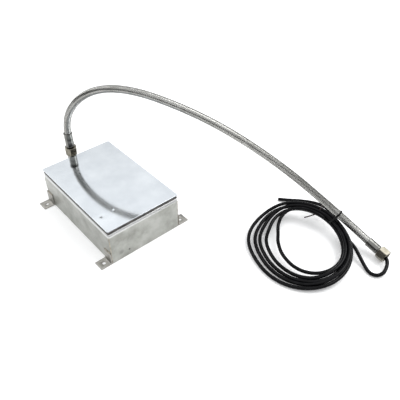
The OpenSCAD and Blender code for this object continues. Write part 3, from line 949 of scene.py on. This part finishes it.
def make_hose_tie(looks):
    """A nylon tie round the hose and the bunched cable: ribbed strap, head and cut tail."""
    matrix = Matrix.Translation(HOSE_TIE_AT) @ rotation_z(HOSE_TIE_TURN)
    matrix = matrix @ Matrix.Rotation(math.radians(HOSE_TIE_LEAN), 4, "Y")
    outline = belt_outline(9.7, HOSE_TO_BUNCH, 11.9)
    line, outward = closed_line(outline, 0.55)
    rib = 0.12 * (np.arange(len(line)) % 2)
    section = [(0.0, -1.7), (0.25, -1.8), (1.0, -1.8), (1.2, -1.55),
               (1.2, 1.55), (1.0, 1.8), (0.25, 1.8), (0.0, 1.7)]
    rows = []
    for point, normal, ridge in zip(line, outward, rib):
        rows.append(np.array([(*(point + normal * (t + (ridge if t > 0.9 else 0))), w) for t, w in section]))
    strap = placed_rows("strap", rows, matrix, len(section))
    fix_normals(strap)
    head_at = matrix @ Matrix.Translation((HOSE_TO_BUNCH[0] + 14.0, HOSE_TO_BUNCH[1], 0))
    head = beveled_block("head", (3.6, 5.4, 5.0), head_at, 0.6)
    tail_at = head_at @ Matrix.Translation((0.6, 6.4, 0)) @ rotation_z(12)
    tail = beveled_block("tail", (1.1, 9.0, 3.4), tail_at, 0.25)
    tie = join("hose_tie_strap", [strap, head, tail])
    return dress(tie, looks["tie"], 35)


def twisted_pair(name, path, pitch, wire_r, looks):
    """Two thin coated wires twisted round a line."""
    distances = distances_along(path)
    u, v = frames_along(path)
    wires = []
    for start in (0, math.pi):
        turn = 2 * math.pi * distances / pitch + start
        offset = wire_r * (np.cos(turn)[:, None] * u + np.sin(turn)[:, None] * v)
        wires.append(sweep(name, path + offset, wire_r * 0.95, 8))
    for wire in wires:
        wire.data.materials.append(looks["twist"])
    return wires


def make_coil_tie(looks):
    """A brown twist tie: a loop round the bunched cable and a long loose tail."""
    matrix = np.array(Matrix.Translation(COIL_TIE_AT) @ rotation_z(15))
    angles = np.radians(np.arange(-90, 282, 6))
    loop = np.stack([0.8 * np.sin(angles * 0.5), 14.4 * np.cos(angles), 14.4 * np.sin(angles)], 1)
    tail = [(1, -14, 0), (-4, -19, -2), (-11, -27, -3.5), (-18, -34, -6.5), (-25, -42, -7)]
    pieces = []
    for line, step in ((loop, 1.0), (tail, 0.8)):
        path = b_spline(line, step)
        placed = (np.c_[path, np.ones(len(path))] @ matrix.T)[:, :3]
        pieces += twisted_pair("twist", placed, 8.0, 0.95, looks)
    return smooth(join("coil_tie_twist", pieces), 60)


def make_bush(looks):
    """The rubber bush in the mouth of the end nut, with a raised lip round the cable."""
    start = FAR_FERRULE_L + NECK_GAP + LIP_T + FIT + 3
    profile = [(4.05, 0.1), (8.4, 0.1), (8.5, 0.4), (8.5, 1.6), (8.1, 2.0), (6.4, 2.1), (6.0, 2.5),
               (4.6, 2.5), (4.05, 2.0)]
    shifted = [(r, z + start) for r, z in profile]
    return turned("cable_bush_moulded", shifted, far_frame(), 48, looks["rubber"])


def make_cable_inside(looks):
    route = [(-118, 0, 46), (-135, 0, 46), (-158, 0, 46.5), (-169, 0, 50), (-175, 0, 58), (-177, 0, 70),
             (-177, 0, 96)] + HOSE_ROUTE + [(542, 377.5, 19.5)]
    inside = sweep("cable_inside_hose", b_spline(route, 5.0), CABLE_DIAMETER / 2, 12)
    return dress(inside, looks["jacket"])


def make_plate_frame(looks):
    """The recessed bar frame under the plate, with a rippled weld along its top and bottom; its dark colour
    is painted shade under the plate's overhang.
    """
    low, high = node_box("plate_frame")
    outline = box_outline(high[0], high[1], CORNER_R - 1.5)(0)
    step = 0.9
    line, outward = closed_line(outline, step)
    along = np.arange(len(line)) * step
    rng = np.random.default_rng(5)
    slow = np.interp(along, np.linspace(0, along[-1], 61), np.r_[rng.uniform(-1, 1, 60), 0])
    swell = 0.3 * np.abs(np.sin(along * math.pi / 2.6)) + 0.2 * slow
    rows = []
    for point, normal, bulge in zip(line, outward, swell):
        section = [(-9.5, low[2]), (-0.4, low[2])]
        section += [(0.5 + bulge, low[2] + 0.5), (0.5 + bulge, low[2] + 1.3), (-0.3, low[2] + 1.9)]
        section += [(-0.3, high[2] - 1.6), (0.2 + bulge, high[2] - 1.1), (0.2 + bulge, high[2] - 0.4)]
        section += [(-0.4, high[2]), (-9.5, high[2])]
        rows.append(np.array([(*(point + normal * t), z) for t, z in section]))
    welded = placed_rows("plate_frame_welded", rows, Matrix.Identity(4), len(section))
    fix_normals(welded)
    return dress(welded, looks["seam"], 50)


# ---- looks of every slot ----

def make_looks():
    return {
        "wall": wall_look(),
        "polished": polished_plate(),
        "weld": weld_metal(),
        # painted shade: the recessed frame under the plate is coloured near black
        "seam": steel("frame_painted_shade_look", (0.05, 0.05, 0.05), (0.13, 0.125, 0.12), 0.35, 0.55, patch_scale=90.0),
        "bracket": steel("bracket_look", (0.30, 0.29, 0.27), (0.42, 0.41, 0.38), 0.34, 0.46,
                         (1, 30, 30), 300.0),
        "pipe": steel("pipe_look", (0.26, 0.26, 0.245), (0.38, 0.38, 0.36), 0.22, 0.34, (1, 1, 20), 300.0),
        "nut": steel("nut_look", (0.15, 0.14, 0.11), (0.29, 0.275, 0.23), 0.24, 0.36, patch_scale=70.0),
        "ferrule": steel("ferrule_look", (0.13, 0.13, 0.12), (0.21, 0.21, 0.20), 0.12, 0.2, patch_scale=40.0),
        "braid": braid_look(),
        "liner": plain_look("braid_shadow", (0.03, 0.03, 0.03), (0.07, 0.07, 0.07), 0.5, 0.7),
        "jacket": jacket_look(),
        "rubber": plain_look("rubber_look", (0.012, 0.012, 0.012), (0.03, 0.03, 0.03), 0.5, 0.7),
        "tie": plain_look("tie_look", (0.003, 0.003, 0.003), (0.008, 0.008, 0.009), 0.3, 0.42,
                          gloss=0.12),
        "twist": plain_look("twist_look", (0.018, 0.010, 0.009), (0.05, 0.028, 0.024), 0.35, 0.55),
        "epoxy": plain_look("epoxy_look", (0.45, 0.38, 0.2), (0.62, 0.55, 0.34), 0.25, 0.4, scale=120.0),
        "alloy": steel("alloy_look", (0.70, 0.71, 0.72), (0.82, 0.83, 0.84), 0.28, 0.4),
        "ceramic": plain_look("ceramic_look", (0.16, 0.15, 0.135), (0.26, 0.25, 0.23), 0.5, 0.65,
                              scale=700.0),
        "copper": steel("copper_look", (0.62, 0.34, 0.2), (0.85, 0.52, 0.36), 0.2, 0.35, patch_scale=80.0),
        "oxide": plain_look("oxide_look", (0.02, 0.02, 0.022), (0.06, 0.06, 0.062), 0.35, 0.5, 0.6),
        "red": plain_look("red_wire_look", (0.42, 0.02, 0.015), (0.58, 0.04, 0.03), 0.35, 0.5),
        "green": plain_look("green_wire_look", (0.05, 0.25, 0.06), (0.10, 0.38, 0.11), 0.35, 0.5),
        "ivory": plain_look("terminal_look", (0.62, 0.60, 0.52), (0.76, 0.74, 0.66), 0.35, 0.5),
        "brass": steel("brass_look", (0.55, 0.40, 0.16), (0.76, 0.60, 0.30), 0.22, 0.36, patch_scale=80.0),
    }


def wall_look():
    """Satin sheet: vertical rub marks, cloudy patches, a few small stains on the short wall, and a painted
    highlight that makes the top band and shoulder lighter.
    """
    material, nodes, links, shader = new_material("wall_satin")
    shader.inputs["Metallic"].default_value = 1.0
    plain = coordinates(nodes, links)
    rubbed = coordinates(nodes, links, (1, 1, 7))
    cloud = noise(nodes, links, plain, 22.0, 6.0, 0.62)
    fine = noise(nodes, links, rubbed, 260.0, 4.0, 0.6)
    tone = ramp(nodes, links, cloud, (0.275, 0.28, 0.255), (0.46, 0.465, 0.44), 0.34, 0.66)
    # painted highlight: the sheet is coloured lighter from 79 to 84 mm up and above, where the shoulder
    # catches the sky
    shoulder_highlight_band = between(nodes, links, 79, 84)
    painted_shoulder_highlight = nodes.new("ShaderNodeMixRGB")
    links.new(shoulder_highlight_band, painted_shoulder_highlight.inputs["Fac"])
    links.new(tone, painted_shoulder_highlight.inputs["Color1"])
    painted_shoulder_highlight.inputs["Color2"].default_value = (0.74, 0.745, 0.74, 1)
    tone = painted_shoulder_highlight.outputs["Color"]
    for place, radius, shade in STAINS:
        tone = stain(nodes, links, tone, place, radius, shade)
    links.new(tone, shader.inputs["Base Color"])
    links.new(ramp(nodes, links, fine, 0.34, 0.5, 0.3, 0.7), shader.inputs["Roughness"])
    waves = bump(nodes, links, noise(nodes, links, plain, 11.0, 1.0), 0.5, 0.5)
    links.new(bump(nodes, links, fine, 0.012, 0.8, waves), shader.inputs["Normal"])
    return material


STAINS = [((150, -49, 17), 2.6, 0.22), ((150, -70, 21), 7.0, 0.72)]    # place, radius and darkness


def stain(nodes, links, tone, place, radius, shade):
    source = nodes.new("ShaderNodeTexCoord")
    gap = nodes.new("ShaderNodeVectorMath")
    gap.operation = "DISTANCE"
    gap.inputs[1].default_value = [c * MM for c in place]
    links.new(source.outputs["Object"], gap.inputs[0])
    scaled = nodes.new("ShaderNodeMath")
    scaled.operation = "DIVIDE"
    scaled.inputs[1].default_value = 2 * radius * MM
    links.new(gap.outputs["Value"], scaled.inputs[0])
    mix = nodes.new("ShaderNodeMixRGB")
    mix.blend_type = "MULTIPLY"
    mix.inputs["Fac"].default_value = 1.0
    links.new(tone, mix.inputs["Color1"])
    links.new(ramp(nodes, links, scaled.outputs["Value"], shade, 1.0, 0.2, 0.6), mix.inputs["Color2"])
    return mix.outputs["Color"]


# ---- the whole object ----


def place(piece, body, *nodes):
    """Rides a finished piece on its body, in place of CAD nodes, which it hides."""
    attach(piece, body)
    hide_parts(*nodes)
    return piece


KEPT_NODES = {
    "base_plate": "wall", "base_weld_bead": "weld", "union_gasket": "rubber", "bond_discs": "epoxy",
    "front_masses": "alloy", "upper_piezo_rings": "ceramic", "live_electrodes": "copper",
    "lower_piezo_rings": "ceramic", "earth_electrodes": "copper", "back_masses": "pipe",
    "preload_bolts": "oxide", "live_bus_wire": "red", "earth_bus_wire": "green", "terminal_block": "ivory",
    "terminal_screws": "brass", "earth_lug": "brass",
}


def main():
    looks = make_looks()
    make_camera()
    make_studio()
    hose, hose_path = make_hose(looks)
    place(hose, BOX_BODY, "braided_hose")
    cable, cable_path = make_cable(looks)
    place(cable, BOX_BODY, "cable_loop", "cable_coil", "cable_tail")
    place(make_cable_inside(looks), BOX_BODY, "cable_in_hose")

    place(make_wall_shell(looks), BOX_BODY, "wall_shell")
    place(make_radiating_plate(looks), BOX_BODY, "radiating_plate")
    place(make_plate_frame(looks), BOX_BODY, "plate_frame")
    for node in BRACKET_NODES:
        place(make_bracket(node + "_bent", node, looks), BOX_BODY, node)
    corner_beads, bracket_beads = make_welds(looks)
    place(corner_beads, BOX_BODY, "wall_corner_welds")
    place(bracket_beads, BOX_BODY, "bracket_welds")

    place(make_flange(looks), BOX_BODY, "outlet_flange")
    place(make_elbow(looks), BOX_BODY, "outlet_elbow")
    place(make_adapter(looks), BOX_BODY, "threaded_adapter")
    near, far = near_frame(), far_frame()
    place(make_stem("near_stem_turned", near, NEAR_FERRULE_L, looks), BOX_BODY, "near_hose_stem")
    near_ferrule = make_ferrule("near_ferrule_crimped", near, NEAR_FERRULE_L, looks)
    place(near_ferrule, BOX_BODY, "near_ferrule")
    far_stem = place(make_stem("far_stem_turned", far, FAR_FERRULE_L, looks), BOX_BODY, "far_hose_stem")
    far_ferrule = make_ferrule("far_ferrule_crimped", far, FAR_FERRULE_L, looks)
    place(far_ferrule, BOX_BODY, "far_ferrule")
    union_nut = make_nut("union_nut_turned", near, NEAR_FERRULE_L + NECK_GAP, looks)
    place(union_nut, "union_nut_body", "union_nut")
    end_nut = make_nut("end_nut_turned", far, FAR_FERRULE_L + NECK_GAP, looks)
    place(end_nut, "end_nut_body", "end_nut")
    bush = place(make_bush(looks), BOX_BODY, "cable_bush")
    hose_tie = place(make_hose_tie(looks), BOX_BODY, "hose_tie")
    coil_tie = place(make_coil_tie(looks), BOX_BODY, "coil_tie")

    for node, look in KEPT_NODES.items():
        for material_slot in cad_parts[node].material_slots:
            material_slot.material = looks[look]

    [c * MM for c in hose_path[0]]
    path_length(hose_path) * MM
    path_length(cable_path) * MM


main()
